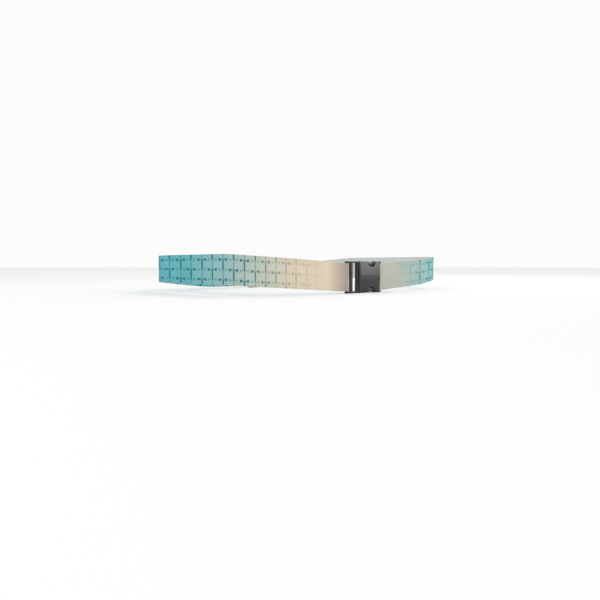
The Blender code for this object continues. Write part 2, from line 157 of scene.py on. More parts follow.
HEAD_DROP_POWER = 2.4
SHOULDER_X = -4.6 * MM
RIDGE_COUNT = 4
RIDGE_PITCH = 2.2 * MM
RIDGE_FIRST_X = NOTCH_X - 3.9 * MM
RIDGE_RADIUS = 0.45 * MM

# Folds, cuts and seams of the webbing
SOCKET_LEG_X = 68 * MM
SOCKET_TAIL_X = 66 * MM
PLUG_LOOP_X = -80 * MM
SLIDER_LEG_X = -42 * MM
FRONT_CUT_X = -200 * MM
BACK_CUT_X = -150 * MM
SOCKET_SEAM = (37 * MM, 62 * MM)
SLIDER_SEAM = (-39 * MM, -24 * MM)
SEAM_HALF = 19 * MM
THREAD = 0.55 * MM
STITCH_PITCH = 3 * MM
STITCH_LENGTH = 2.5 * MM

# The loop lies so that the outer faces of the socket and of the slider are equally far from y = 0
OUTER_FRONT = SOCKET_FACE + SOCKET_CROWN
OUTER_BACK = WEB_HALF_THICK + FIT_GAP + SLIDER_END_THICK
FRONT_Y = -LOOP_DEPTH / 2 + (OUTER_FRONT - OUTER_BACK) / 2
BACK_Y = FRONT_Y + LOOP_DEPTH
CENTRE_Y = (FRONT_Y + BACK_Y) / 2
BUCKLE_MID_X = (PLUG_LEFT_X + SOCKET_RAIL_END_X) / 2

# The print: how far along the webbing (mm) each of these columns lies, for one repeat of the design.
# The columns between two marks are spaced evenly.
PRINT_MARKS = ((92, 1), (155, 3), (217, 4), (1090, 30), (1175, 32), (1244, 34), (1302, 36), (1326, 37),
               (1430, 43), (1473, 45), (1698, 53))
PRINT_REPEAT = 52
FIRST_ROW = 0.18
ROW_PITCH = 0.33
# Sizes of the printed marks, as shares of the column and row pitches
STROKE_HALF = 0.075
WEDGE_TIP = 0.04
WEDGE_END = 0.42
WEDGE_SLOPE = 0.5
PRINT_BLUR = 0.015
FAINT_SHARE = 0.45

# The ground's colours (sRGB), and the taupe that paints shade where the webbing runs into the plug
STONE = (186, 188, 174)
MIST = (150, 190, 188)
TEAL = (98, 180, 188)
SAND = (224, 208, 183)
# Painted shade: the webbing darkened to greige where it folds into the plug
PAINTED_SHADE_TAUPE = (170, 156, 144)
# Where the ground reaches each of them, from the buckle's right side round to its left side:
# (distance in mm, colour)
# The taupe stop just short of the buckle's left side is painted shade, not print.
GROUND_AND_SHADE_STOPS = (
    (0, STONE), (70, STONE), (180, MIST), (300, TEAL), (560, TEAL), (800, SAND), (1000, TEAL),
    (1190, TEAL), (1310, MIST), (1430, SAND), (1500, SAND), (1545, PAINTED_SHADE_TAUPE), (1600, STONE))
# How strongly the lines show along the loop: (distance in mm, share)
LINE_STOPS = (
    (0, 0.0), (80, 0.0), (120, 0.3), (220, 1.0), (640, 1.0), (760, 0.0), (850, 0.0), (960, 1.0),
    (1340, 1.0), (1430, 0.4), (1490, 0.0))


# ---------------------------------------------------------------- small helpers

def front(depth):
    return FRONT_Y + depth


def back(depth):
    return BACK_Y - depth


def srgb(colour):
    """Linear colour of an 8-bit sRGB one."""
    shares = [c / 255 for c in colour]
    linear = [s / 12.92 if s <= 0.04045 else ((s + 0.055) / 1.055) ** 2.4 for s in shares]
    return (*linear, 1.0)


def add_object(name, mesh, material, location=(0, 0, 0)):
    obj = bpy.data.objects.new(name, mesh)
    obj.location = location
    bpy.context.scene.collection.objects.link(obj)
    if material:
        mesh.materials.append(material)
    return obj


def shade(obj, sharp_degrees=35):
    obj.data.shade_smooth()
    obj.data.set_sharp_from_angle(angle=math.radians(sharp_degrees))


# ---------------------------------------------------------------- materials

class Nodes:
    """Short names for building a node tree round a material's Principled shader."""

    def __init__(self, name):
        self.material = bpy.data.materials.new(name)
        self.material.use_nodes = True
        self.tree = self.material.node_tree
        self.shader = self.tree.nodes["Principled BSDF"]

    def new(self, kind, **settings):
        node = self.tree.nodes.new("ShaderNode" + kind)
        for key, value in settings.items():
            setattr(node, key, value)
        return node

    def link(self, value, socket):
        """Connect a socket, or set a plain number or colour."""
        if isinstance(value, bpy.types.NodeSocket):
            self.tree.links.new(value, socket)
        else:
            socket.default_value = value

    def math(self, operation, a, b=0.0, c=0.0):
        node = self.new("Math", operation=operation)
        for value, socket in zip((a, b, c), node.inputs):
            self.link(value, socket)
        return node.outputs[0]

    def attribute(self, name):
        return self.new("Attribute", attribute_name=name)

    def smooth_step(self, value, low, high):
        """0 below low, 1 above high and smooth between them; falls instead if low is above high."""
        node = self.new("MapRange", interpolation_type="SMOOTHSTEP")
        falls = low > high
        self.link(value, node.inputs["Value"])
        for key, number in zip(("From Min", "From Max", "To Min", "To Max"),
                               (min(low, high), max(low, high), float(falls), float(not falls))):
            self.link(number, node.inputs[key])
        return node.outputs[0]

    def mix(self, factor, a, b, blend="MIX"):
        node = self.new("Mix", data_type="RGBA", blend_type=blend)
        self.link(factor, node.inputs["Factor"])
        self.link(a, node.inputs[6])
        self.link(b, node.inputs[7])
        return node.outputs[2]

    def ramp(self, factor, stops):
        node = self.new("ValToRGB")
        self.link(factor, node.inputs["Fac"])
        elements = node.color_ramp.elements
        elements[0].position, elements[0].color = stops[0]
        elements[1].position, elements[1].color = stops[-1]
        for position, colour in stops[1:-1]:
            elements.new(position).color = colour
        return node.outputs["Color"]

    def noise(self, scale, detail=3.0, roughness=0.5, vector=None):
        node = self.new("TexNoise")
        node.inputs["Scale"].default_value = scale
        node.inputs["Detail"].default_value = detail
        node.inputs["Roughness"].default_value = roughness
        self.link(vector or self.new("TexCoord").outputs["Object"], node.inputs["Vector"])
        return node.outputs["Fac"]

    def bump(self, height, distance, strength=1.0, normal=None):
        node = self.new("Bump")
        node.inputs["Distance"].default_value = distance
        node.inputs["Strength"].default_value = strength
        self.link(height, node.inputs["Height"])
        if normal:
            self.link(normal, node.inputs["Normal"])
        return node.outputs["Normal"]


def print_lines(nodes, loop_total):
    """The printed lattice as a mask from 0 to 1: columns of strong and faint strokes, with a bow-tie of
    two wedges where strokes meet. The share of the loop and the place on the cloth come back with it."""
    place = nodes.new("SeparateXYZ")
    nodes.link(nodes.attribute("print_place").outputs["Vector"], place.inputs[0])
    column, row = place.outputs[0], place.outputs[1]

    near_column = nodes.math("ROUND", column)
    from_column = nodes.math("ABSOLUTE", nodes.math("SUBTRACT", column, near_column))
    near_row = nodes.math("ROUND", row)
    from_row = nodes.math("ABSOLUTE", nodes.math("SUBTRACT", row, near_row))

    def strength(row_number):
        """1 where row and column numbers add up to an odd number, and a faint share where even."""
        parity = nodes.math("FLOORED_MODULO", nodes.math("ADD", row_number, near_column), 2.0)
        return nodes.math("MULTIPLY_ADD", parity, 1 - FAINT_SHARE, FAINT_SHARE)

    stroke = nodes.smooth_step(from_column, STROKE_HALF + PRINT_BLUR, STROKE_HALF - PRINT_BLUR)
    stroke = nodes.math("MULTIPLY", stroke, strength(nodes.math("FLOOR", row)))

    wedge_half = nodes.math("MULTIPLY", nodes.math("SUBTRACT", from_column, WEDGE_TIP), WEDGE_SLOPE)
    wedge = nodes.smooth_step(nodes.math("SUBTRACT", wedge_half, from_row), -PRINT_BLUR, PRINT_BLUR)
    wedge = nodes.math("MULTIPLY", wedge, nodes.smooth_step(from_column, WEDGE_END + PRINT_BLUR,
                                                            WEDGE_END - PRINT_BLUR))
    wedge = nodes.math("MULTIPLY", wedge, strength(near_row))

    mask = nodes.math("MAXIMUM", stroke, wedge)
    cloth = nodes.new("SeparateXYZ")
    nodes.link(nodes.attribute("cloth_place").outputs["Vector"], cloth.inputs[0])
    along = nodes.math("FLOORED_MODULO", nodes.math("DIVIDE", cloth.outputs[0], loop_total), 1.0)
    shares = [(mm * MM / loop_total, (share, share, share, 1.0)) for mm, share in LINE_STOPS]
    return nodes.math("MULTIPLY", mask, nodes.ramp(along, shares)), along, cloth


def weave(nodes, along, across):
    """Height of a plain weave of flat yarns, from 0 in the gaps to 1 on top."""
    warp = nodes.math("SINE", nodes.math("MULTIPLY", across, math.pi / (0.62 * MM)))
    weft = nodes.math("SINE", nodes.math("MULTIPLY", along, math.pi / (0.75 * MM)))
    both = nodes.math("MULTIPLY", warp, weft)
    return nodes.math("MULTIPLY_ADD", both, 0.5, 0.5)


def webbing_material(name, loop_total):
    """Woven polyester with the design printed on face A; face B shows it faintly. Painted shade darkens the
    weave's gaps and the webbing where it runs into the plug.
    """
    nodes = Nodes(name)
    mask, share, cloth = print_lines(nodes, loop_total)
    along, across, face = cloth.outputs

    # The ramp holds the print's ground colours and the painted shade near the plug
    ground_and_shade_stops = [(mm * MM / loop_total, srgb(colour)) for mm, colour in GROUND_AND_SHADE_STOPS]
    ground_and_shade = nodes.ramp(share, ground_and_shade_stops)
    line_colour = nodes.mix(0.15, srgb((4, 102, 113)), ground_and_shade)
    printed = nodes.mix(mask, ground_and_shade, line_colour)
    plain = nodes.mix(0.2, srgb((222, 222, 214)), printed)
    colour = nodes.mix(nodes.smooth_step(face, 0.45, 0.55), plain, printed)

    yarn = weave(nodes, along, across)
    fibre_place = nodes.new("VectorMath", operation="MULTIPLY")
    nodes.link(nodes.attribute("cloth_place").outputs["Vector"], fibre_place.inputs[0])
    fibre_place.inputs[1].default_value = (1.0, 4.0, 1.0)
    fibre = nodes.noise(700, 3.0, 0.6, fibre_place.outputs[0])
    patches = nodes.noise(28, 2.0, 0.5)
    edge = nodes.math("SUBTRACT", WEB_WIDTH / 2, nodes.math("ABSOLUTE", across))
    selvedge = nodes.smooth_step(nodes.math("ABSOLUTE", nodes.math("SUBTRACT", edge, 1.6 * MM)),
                                 0.45 * MM, 0.15 * MM)

    # Painted shade: darker in the gaps between the yarns of the weave
    gap_shade = nodes.math("MULTIPLY_ADD", yarn, -0.16, 0.16)
    colour = nodes.mix(gap_shade, colour, (0.35, 0.36, 0.36, 1), "MULTIPLY")
    on_fibres = nodes.math("MULTIPLY", nodes.smooth_step(fibre, 0.35, 0.75), 0.10)
    colour = nodes.mix(on_fibres, colour, (1.0, 1.0, 1.0, 1.0), "SOFT_LIGHT")
    soiled = nodes.math("MULTIPLY", nodes.smooth_step(patches, 0.4, 0.7), 0.10)
    colour = nodes.mix(soiled, colour, (0.55, 0.55, 0.52, 1.0), "MULTIPLY")
    colour = nodes.mix(nodes.math("MULTIPLY", selvedge, 0.22), colour, (0.4, 0.4, 0.4, 1.0), "MULTIPLY")
    worn = nodes.math("MULTIPLY", nodes.smooth_step(edge, 0.9 * MM, 0.1 * MM), 0.35)
    colour = nodes.mix(worn, colour, srgb((226, 228, 222)))
    nodes.link(colour, nodes.shader.inputs["Base Color"])

    nodes.link(nodes.math("MULTIPLY_ADD", fibre, 0.16, 0.66), nodes.shader.inputs["Roughness"])
    nodes.shader.inputs["Specular IOR Level"].default_value = 0.18
    nodes.shader.inputs["Sheen Weight"].default_value = 0.05
    nodes.shader.inputs["Sheen Roughness"].default_value = 0.45
    height = nodes.math("MULTIPLY_ADD", fibre, 0.35, yarn)
    normal = nodes.bump(height, 0.12 * MM, 0.8)
    normal = nodes.bump(nodes.math("MULTIPLY", selvedge, -1.0), 0.12 * MM, 0.7, normal)
    nodes.link(normal, nodes.shader.inputs["Normal"])
    return nodes.material


def plastic_material(name):
    """Satin black moulding: spark-eroded texture, faint scuffs, and edges painted lighter, partly as rubbed
    wear and partly as a painted highlight.
    """
    nodes = Nodes(name)
    grain = nodes.noise(2600, 2.0, 0.6)
    cloud = nodes.noise(90, 3.0, 0.55)
    stretched = nodes.new("Mapping")
    nodes.link(nodes.new("TexCoord").outputs["Object"], stretched.inputs["Vector"])
    stretched.inputs["Scale"].default_value = (0.18, 1.0, 1.0)
    stretched.inputs["Rotation"].default_value = (0.0, 0.35, 0.0)
    scratches = nodes.smooth_step(nodes.noise(900, 4.0, 0.65, stretched.outputs[0]), 0.66, 0.74)
    rounded = nodes.new("Bevel", samples=6)
    rounded.inputs["Radius"].default_value = 0.6 * MM
    alike = nodes.new("VectorMath", operation="DOT_PRODUCT")
    nodes.link(rounded.outputs["Normal"], alike.inputs[0])
    nodes.link(nodes.new("NewGeometry").outputs["Normal"], alike.inputs[1])
    on_edge = nodes.smooth_step(alike.outputs["Value"], 0.985, 0.9)
    # Lighter rounded edges: partly rubbed wear, partly a painted highlight along the bevels
    rubbed_and_highlit = nodes.math("MULTIPLY", on_edge, nodes.smooth_step(cloud, 0.25, 0.6))

    colour = nodes.mix(cloud, srgb((22, 22, 24)), srgb((32, 32, 34)))
    colour = nodes.mix(nodes.math("MULTIPLY", scratches, 0.25), colour, srgb((84, 84, 86)))
    # Painted highlight and wear on the edges
    colour = nodes.mix(nodes.math("MULTIPLY", rubbed_and_highlit, 0.7), colour, srgb((136, 136, 138)))
    nodes.link(colour, nodes.shader.inputs["Base Color"])

    roughness = nodes.math("MULTIPLY_ADD", cloud, 0.1, 0.24)
    roughness = nodes.math("MULTIPLY_ADD", scratches, 0.12, roughness)
    nodes.link(roughness, nodes.shader.inputs["Roughness"])
    nodes.shader.inputs["Specular IOR Level"].default_value = 0.44
    nodes.link(nodes.bump(grain, 0.04 * MM, 0.25), nodes.shader.inputs["Normal"])
    return nodes.material


def thread_material(name):
    """Twisted polyester thread."""
    nodes = Nodes(name)
    fuzz = nodes.noise(2500, 2.0, 0.6)
    tone = nodes.noise(160, 1.0, 0.5)
    colour = nodes.mix(tone, srgb((176, 172, 158)), srgb((206, 202, 188)))
    nodes.link(colour, nodes.shader.inputs["Base Color"])
    nodes.link(nodes.math("MULTIPLY_ADD", fuzz, 0.2, 0.5), nodes.shader.inputs["Roughness"])
    nodes.shader.inputs["Sheen Weight"].default_value = 0.2
    nodes.link(nodes.bump(fuzz, 0.1 * MM, 0.6), nodes.shader.inputs["Normal"])
    return nodes.material


# ---------------------------------------------------------------- the loop's centre line

def rounded_outline(corners, step):
    """Points of a closed anticlockwise outline whose corners (x, y, radius) are rounded by arcs."""
    points = []
    for index, (x, y, radius) in enumerate(corners):
        here = Vector((x, y))
        before = Vector(corners[index - 1][:2])
        after = Vector(corners[(index + 1) % len(corners)][:2])
        to_before = (before - here).normalized()
        to_after = (after - here).normalized()
        half_angle = to_before.angle(to_after) / 2
        reach = radius / math.tan(half_angle)
        middle = here + (to_before + to_after).normalized() * radius / math.sin(half_angle)
        start = here + to_before * reach - middle
        turn = math.pi - 2 * half_angle
        count = max(4, math.ceil(turn * radius / step))
        points += [middle + Matrix.Rotation(turn * i / count, 2) @ start for i in range(count + 1)]
    return points


def loop_corners():
    half_depth = LOOP_DEPTH / 2
    right = [
        (RUN_HALF, -half_depth, RUN_RADIUS),
        (CORNER_X, -half_depth + CORNER_DROP, CORNER_RADIUS),
        (CORNER_X + SIDE_BULGE, 0.0, SIDE_RADIUS),
        (CORNER_X, half_depth - CORNER_DROP, CORNER_RADIUS),
        (RUN_HALF, half_depth, RUN_RADIUS),
    ]
    left = [(-x, -y, radius) for x, y, radius in right]
    return [(x, y + CENTRE_Y, radius) for x, y, radius in right + left]


def smoothed(values, sigma):
    """A closed row of evenly spaced values, blurred by a bell curve sigma wide."""
    reach = math.ceil(4 * sigma / LINE_STEP)
    bell = np.exp(-0.5 * (np.arange(-reach, reach + 1) * LINE_STEP / sigma) ** 2)
    padded = np.concatenate([values[-reach:], values, values[:reach]])
    return np.convolve(padded, bell / bell.sum(), mode="valid")


class Loop:
    """The outer layer's closed centre line, by distance from (0, FRONT_Y)."""

    def __init__(self):
        outline = rounded_outline(loop_corners(), LINE_STEP)
        points = np.array([(0.0, FRONT_Y)] + [tuple(p) for p in outline] + [(0.0, FRONT_Y)])
        steps = np.hypot(*np.diff(points, axis=0).T)
        lengths = np.concatenate([[0.0], np.cumsum(steps)])
        self.total = lengths[-1]
        self.count = round(self.total / LINE_STEP)
        self.places = np.arange(self.count) * self.total / self.count
        self.x = smoothed(np.interp(self.places, lengths, points[:, 0]), LINE_SMOOTHING)
        self.y = smoothed(np.interp(self.places, lengths, points[:, 1]), LINE_SMOOTHING)
        along = np.array([np.roll(row, -1) - np.roll(row, 1) for row in (self.x, self.y)])
        along /= np.hypot(*along)
        self.inward_x, self.inward_y = -along[1], along[0]
        self.height = smoothed(self.rise(), RISE_SMOOTHING)

    def rise(self):
        """Height of the webbing's middle above its lowest: level at the buckle and the slider."""
        from_buckle = np.minimum(np.abs(self.places - BUCKLE_MID_X),
                                 np.abs(self.places - self.total - BUCKLE_MID_X))
        from_slider = np.abs(self.places - self.total / 2)
        front_share = (from_buckle - FRONT_LEVEL_HALF) / (RISE_END - FRONT_LEVEL_HALF)
        back_share = (from_slider - BACK_LEVEL_HALF) / (RISE_END - BACK_LEVEL_HALF)
        return RISE * np.clip(np.minimum(front_share, back_share), 0.0, 1.0)

    def read(self, values, distance):
        return np.interp(distance, self.places, values, period=self.total)

    def at(self, distance, depth):
        """x, y and rise at a distance and a depth."""
        x = self.read(self.x, distance) + self.read(self.inward_x, distance) * depth
        y = self.read(self.y, distance) + self.read(self.inward_y, distance) * depth
        return x, y, self.read(self.height, distance)

    def find(self, x, start, end):
        """Distance between start and end at which the line comes nearest to x."""
        choices = np.arange(start, end, LINE_STEP / 4)
        return float(choices[np.argmin(np.abs(self.read(self.x, choices) - x))])


# ---------------------------------------------------------------- the webbing's route

def bar_loop(bar_x, flat_half, turn, radius, near_x, far_x, depth, end_depth):
    """(x, depth) of webbing that meets a bar, turns round its far side and comes back beneath it.

    turn is +1 where the webbing comes from the left and -1 where it comes from the right.
    """
    turn_x = bar_x + turn * flat_half
    leave_x = bar_x - turn * flat_half
    rows = [(near_x + (turn_x - near_x) * i / 10, depth) for i in range(10)]
    for i in range(25):
        angle = math.pi * i / 24
        rows.append((turn_x + turn * radius * math.sin(angle), depth + radius * (1 - math.cos(angle))))
    low = depth + 2 * radius
    for i in range(1, 15):
        share = i / 14
        ease = share * share * (3 - 2 * share)
        rows.append((leave_x - turn * SETTLE * share, low + (end_depth - low) * ease))
    last_x = rows[-1][0]
    rows += [(last_x + (far_x - last_x) * i / 8, end_depth) for i in range(1, 9)]
    return rows


class Route:
    """The webbing's one length, as stations (x, y, rise, distance along the cloth)."""

    def __init__(self, loop):
        self.loop = loop
        self.stations = []
        self.marks = {}

    def mark(self, name):
        """Name the last station, where the webbing is divided."""
        self.marks[name] = len(self.stations) - 1

    def add(self, x, y, rise):
        cloth = 0.0
        if self.stations:
            last = self.stations[-1]
            cloth = last[3] + math.hypot(x - last[0], y - last[1])
        self.stations.append((x, y, rise, cloth))

    def add_layer(self, start, end, depth):
        """One layer of the loop, from one distance to another."""
        count = max(2, round(abs(end - start) / STATION_STEP))
        for i in range(1, count + 1):
            self.add(*self.loop.at(start + (end - start) * i / count, depth))

    def add_fold(self, rows, y_of, middle):
        """A fold's rows of (x, depth); middle is the loop's distance at x = 0 there."""
        sign = 1 if y_of is front else -1
        for x, depth in rows:
            self.add(x, y_of(depth), float(self.loop.read(self.loop.height, middle + sign * x)))

    def piece(self, start, end):
        first = self.marks[start] if start else 0
        last = self.marks[end] if end else len(self.stations) - 1
        return self.stations[first:last + 1]


def webbing_route(loop):
    """From the tail sewn at the socket, right round the loop to the plug, back as the inner layer
    along the front and the left side, and over the slider's centre bar to the other sewn tail."""
    route = Route(loop)
    half = loop.total / 2
    flat_half = (BAR_LENGTH - BAR_THICK) / 2
    slider_flat_half = (BAR_LENGTH - SLIDER_BAR_THICK) / 2
    front_cut = loop.find(FRONT_CUT_X, 1.5 * half, 2 * half)
    back_cut = loop.find(BACK_CUT_X, half, 1.5 * half)
    slider_leg = loop.find(SLIDER_LEG_X, half, 1.5 * half)

    tail = bar_loop(SOCKET_BAR_X, flat_half, -1, BAR_TURN, SOCKET_LEG_X, SOCKET_TAIL_X, 0.0, LAYER_PITCH)
    route.add_fold(tail[::-1], front, 0.0)
    route.mark("socket_leg")
    route.add_layer(SOCKET_LEG_X, front_cut, 0.0)
    route.mark("front_cut")
    route.add_layer(front_cut, loop.total + PLUG_LOOP_X, 0.0)
    fold = bar_loop(PLUG_BAR_X, flat_half, 1, BAR_TURN, PLUG_LOOP_X, PLUG_LOOP_X, 0.0, LAYER_PITCH)
    route.add_fold(fold[1:], front, 0.0)
    route.add_layer(loop.total + PLUG_LOOP_X, front_cut, LAYER_PITCH)
    route.mark("return_front_cut")
    route.add_layer(front_cut, back_cut, LAYER_PITCH)
    route.mark("back_cut")
    route.add_layer(back_cut, slider_leg, LAYER_PITCH)
    fold = bar_loop(0.0, slider_flat_half, 1, SLIDER_TURN, SLIDER_LEG_X, SLIDER_LEG_X,
                    LAYER_PITCH, 2 * LAYER_PITCH)
    route.add_fold(fold[1:], back, half)
    offset = SOCKET_LEG_X - route.stations[route.marks["socket_leg"]][3]
    route.stations = [(x, y, rise, cloth + offset) for x, y, rise, cloth in route.stations]
    return route


# ---------------------------------------------------------------- webbing

def strip_profile():
    """Closed cross-section of the webbing as (height, thickness): face A from top to bottom, then
    face B back up. The selvedges are round, with a shallow groove beside them."""
    from_edge = [0.06, 0.2, 0.42, 0.7, 1.1, 1.6, 1.85, 2.1, 2.35, 2.6, 3.2, 6, 11, 18]
    radius = WEB_HALF_THICK
    face = []
    for mm in from_edge:
        edge = mm * MM
        round_off = math.sqrt(max(0.0, radius ** 2 - max(0.0, radius - edge) ** 2))
        groove = 0.13 * MM * math.exp(-((edge - 2.1 * MM) / (0.28 * MM)) ** 2)
        face.append((WEB_WIDTH / 2 - edge, round_off - groove))
    face = face + [(0.0, radius)] + [(-height, thick) for height, thick in reversed(face)]
    top, bottom = (WEB_WIDTH / 2, 0.0), (-WEB_WIDTH / 2, 0.0)
    return [top] + face + [bottom] + [(height, -thick) for height, thick in reversed(face)]


def column_at(cloth, loop_total):
    """The print's column number at a distance along the cloth."""
    marks = np.array(PRINT_MARKS, float)
    first = marks[0, 0] * MM
    repeats = math.floor((cloth - first) / loop_total)
    within = cloth - repeats * loop_total
    return float(np.interp(within, marks[:, 0] * MM, marks[:, 1])) + PRINT_REPEAT * repeats


def webbing_piece(name, stations, loop_total, material):
    """A stretch of webbing along its stations, with its place on the cloth stored for the print."""
    profile = strip_profile()
    centre = np.array([(x, y) for x, y, _, _ in stations])
    along = np.gradient(centre, axis=0)
    along /= np.hypot(along[:, 0], along[:, 1])[:, None]
    mesh = bpy.data.meshes.new(name)
    shape = bmesh.new()
    cloth_layer = shape.verts.layers.float_vector.new("cloth_place")
    print_layer = shape.verts.layers.float_vector.new("print_place")
    rings = []
    for (x, y, rise, cloth), (along_x, along_y) in zip(stations, along):
        column = column_at(cloth, loop_total)
        ring = []
        for height, thick in profile:
            vert = shape.verts.new((x + along_y * thick, y - along_x * thick, MID_Z + rise + height))
            face_a = 0.5 if thick == 0 else float(thick > 0)
            from_top = 0.5 - height / WEB_WIDTH
            vert[cloth_layer] = (cloth, height, face_a)
            vert[print_layer] = (column, 1 + (from_top - FIRST_ROW) / ROW_PITCH, 0.0)
            ring.append(vert)
        rings.append(ring)
    count = len(profile)
    for ring, after in zip(rings, rings[1:]):
        for i in range(count):
            j = (i + 1) % count
            shape.faces.new((ring[i], ring[j], after[j], after[i]))
    shape.faces.new(rings[0][::-1])
    shape.faces.new(rings[-1])
    bmesh.ops.recalc_face_normals(shape, faces=shape.faces[:])
    shape.to_mesh(mesh)
    shape.free()
    obj = add_object(name, mesh, material)
    shade(obj, 50)
    return obj


# ---------------------------------------------------------------- seams

def stitch(shape, start, end, outward):
    """One stitch: a thread that comes out of the cloth at start, arches and goes back in at end."""
    along = (end - start).normalized()
    across = along.cross(outward)
    length = (end - start).length
    rings = []
    for i in range(9):
        share = i / 8
        arch = math.sin(math.pi * share)
        centre = start + along * length * share + outward * THREAD * (0.62 * arch - 0.35)
        radius = THREAD / 2 * (0.55 + 0.45 * arch)
        ring = []
        for k in range(8):
            angle = 2 * math.pi * k / 8
            sideways = across * math.cos(angle) + outward * math.sin(angle)
            ring.append(shape.verts.new(centre + sideways * radius))
        rings.append(ring)
    for ring, after in zip(rings, rings[1:]):
        for k in range(8):
            shape.faces.new((ring[k], ring[(k + 1) % 8], after[(k + 1) % 8], after[k]))
    shape.faces.new(rings[0][::-1])
    shape.faces.new(rings[-1])


def box_stitches(name, span, surface_y, outward_y, material):
    """A box of stitches lying on one face of the webbing."""
    outward = Vector((0, outward_y, 0))
    corners = [Vector((x, surface_y, MID_Z + z)) for x, z in
               ((span[0], -SEAM_HALF), (span[1], -SEAM_HALF), (span[1], SEAM_HALF), (span[0], SEAM_HALF))]
    mesh = bpy.data.meshes.new(name)
    shape = bmesh.new()
    for corner, following in zip(corners, corners[1:] + corners[:1]):
        side = following - corner
        count = round(side.length / STITCH_PITCH)
        pitch = side.length / count
        step = side.normalized()
        for i in range(count):
            start = corner + step * (pitch * i + (pitch - STITCH_LENGTH) / 2)
            stitch(shape, start, start + step * STITCH_LENGTH, outward)
    bmesh.ops.recalc_face_normals(shape, faces=shape.faces[:])
    shape.to_mesh(mesh)
    shape.free()
    obj = add_object(name, mesh, material)
    shade(obj, 60)
    return obj


# ---------------------------------------------------------------- moulded pieces

def block(name, low, high, rounding=0.0, segments=4):
    """A box between two corners, its edges rounded if asked."""
    mesh = bpy.data.meshes.new(name)
    shape = bmesh.new()
    size = Vector(high) - Vector(low)
    bmesh.ops.create_cube(shape, size=1.0, matrix=Matrix.Diagonal((*size, 1.0)))
    if rounding:
        bmesh.ops.bevel(shape, geom=shape.edges[:], offset=rounding, segments=segments,
                        affect="EDGES", profile=0.5)
    shape.to_mesh(mesh)
    shape.free()
    return add_object(name, mesh, None, (Vector(low) + Vector(high)) / 2)


def turned_along_y(name, centre, profile, segments=64):
    """A solid turned about an axis along Y, from a profile of (y, radius)."""
    mesh = bpy.data.meshes.new(name)
    shape = bmesh.new()
    rings = []
    for y, radius in profile:
        rings.append([shape.verts.new((radius * math.cos(2 * math.pi * k / segments), y,
                                       radius * math.sin(2 * math.pi * k / segments)))
                      for k in range(segments)])
    for ring, after in zip(rings, rings[1:]):
        for k in range(segments):
            j = (k + 1) % segments
            shape.faces.new((ring[k], ring[j], after[j], after[k]))
    shape.faces.new(rings[0][::-1])
    shape.faces.new(rings[-1])
    bmesh.ops.recalc_face_normals(shape, faces=shape.faces[:])
    shape.to_mesh(mesh)
    shape.free()
    return add_object(name, mesh, None, centre)


def tapered_block(name, low, high, axis, grow):
    """A box whose face at the low end of an axis is larger by grow all round."""
    obj = block(name, low, high)
    end = min(v.co[axis] for v in obj.data.vertices)
    for vert in obj.data.vertices:
        if abs(vert.co[axis] - end) < 1e-7:
            for other in range(3):
                if other != axis:
                    vert.co[other] += math.copysign(grow, vert.co[other])
    return obj


def combine(target, tool, operation):
    """Join a helper to the target or cut it away, and remove the helper."""
    modifier = target.modifiers.new(tool.name, "BOOLEAN")
    modifier.operation = operation
    modifier.solver = "MANIFOLD"
    modifier.object = tool
    bpy.context.view_layer.update()
    evaluated = target.evaluated_get(bpy.context.evaluated_depsgraph_get())
    mesh = bpy.data.meshes.new_from_object(evaluated)
    target.modifiers.clear()
    target.data = mesh
    bpy.data.objects.remove(tool, do_unlink=True)


def finish_moulding(obj, name, material):
    """Name, colour and shade a moulded piece."""
    obj.name = name
    obj.data.name = name
    obj.data.materials.clear()
    obj.data.materials.append(material)
    shade(obj)
    return obj


def webbing_bar(name, x, y, thick):
    reach = RAIL_INNER + RAIL / 2
    return block(name, (x - BAR_LENGTH / 2, y - thick / 2, MID_Z - reach),
                 (x + BAR_LENGTH / 2, y + thick / 2, MID_Z + reach), thick / 2 - 0.1 * MM, 8)


def side_rail(name, side, ends, ys, rounding):
    inner = MID_Z + side * RAIL_INNER
    outer = MID_Z + side * FRAME_WIDTH / 2
    low_y, high_y = sorted(ys)
    low_z, high_z = sorted((inner, outer))
    return block(name, (ends[0], low_y, low_z), (ends[1], high_y, high_z), rounding, 5)


def socket_blank():
    """The socket's outside: a rounded block with a crowned outer face and a raised rim at its mouth."""
    mesh = bpy.data.meshes.new("socket_blank")
    shape = bmesh.new()
    size = Vector((SOCKET_END_X - MOUTH_X, SOCKET_FACE + SOCKET_BACK, FRAME_WIDTH))
    centre = Vector(((MOUTH_X + SOCKET_END_X) / 2, front((SOCKET_BACK - SOCKET_FACE) / 2), MID_Z))
    bmesh.ops.create_cube(shape, size=1.0, matrix=Matrix.Diagonal((*size, 1.0)))
    heights = [FRAME_WIDTH * (i / CROWN_STRIPS - 0.5) for i in range(1, CROWN_STRIPS)]
    cuts = [(Vector((0, 0, height)), Vector((0, 0, 1))) for height in heights]
    rim = -size.x / 2 + MOUTH_RIM
    steps = [-0.6 * MM, 0, 0.5 * MM] + [FACE_GRID * i for i in range(1, 27)]
    cuts += [(Vector((rim + step, 0, 0)), Vector((1, 0, 0))) for step in steps]
    for point, normal in cuts:
        bmesh.ops.bisect_plane(shape, geom=shape.verts[:] + shape.edges[:] + shape.faces[:],
                               plane_co=point, plane_no=normal)
    for vert in shape.verts:
        if vert.co.y < 0:
            across = vert.co.z / (size.z / 2)
            vert.co.y -= SOCKET_CROWN * (1 - abs(across) ** CROWN_POWER)
            if vert.co.x < -size.x / 2 + 0.1 * MM:
                vert.co.y += MOUTH_FLARE
            elif vert.co.x < rim + 0.1 * MM:
                vert.co.y -= MOUTH_RIM_PROUD
    shape.to_mesh(mesh)
    shape.free()
    blank = add_object("socket_blank", mesh, None, centre)
    rounding = blank.modifiers.new("edges", "BEVEL")
    rounding.width = SOCKET_EDGE
    rounding.segments = 5
    rounding.limit_method = "ANGLE"
    rounding.angle_limit = math.radians(50)
    return blank


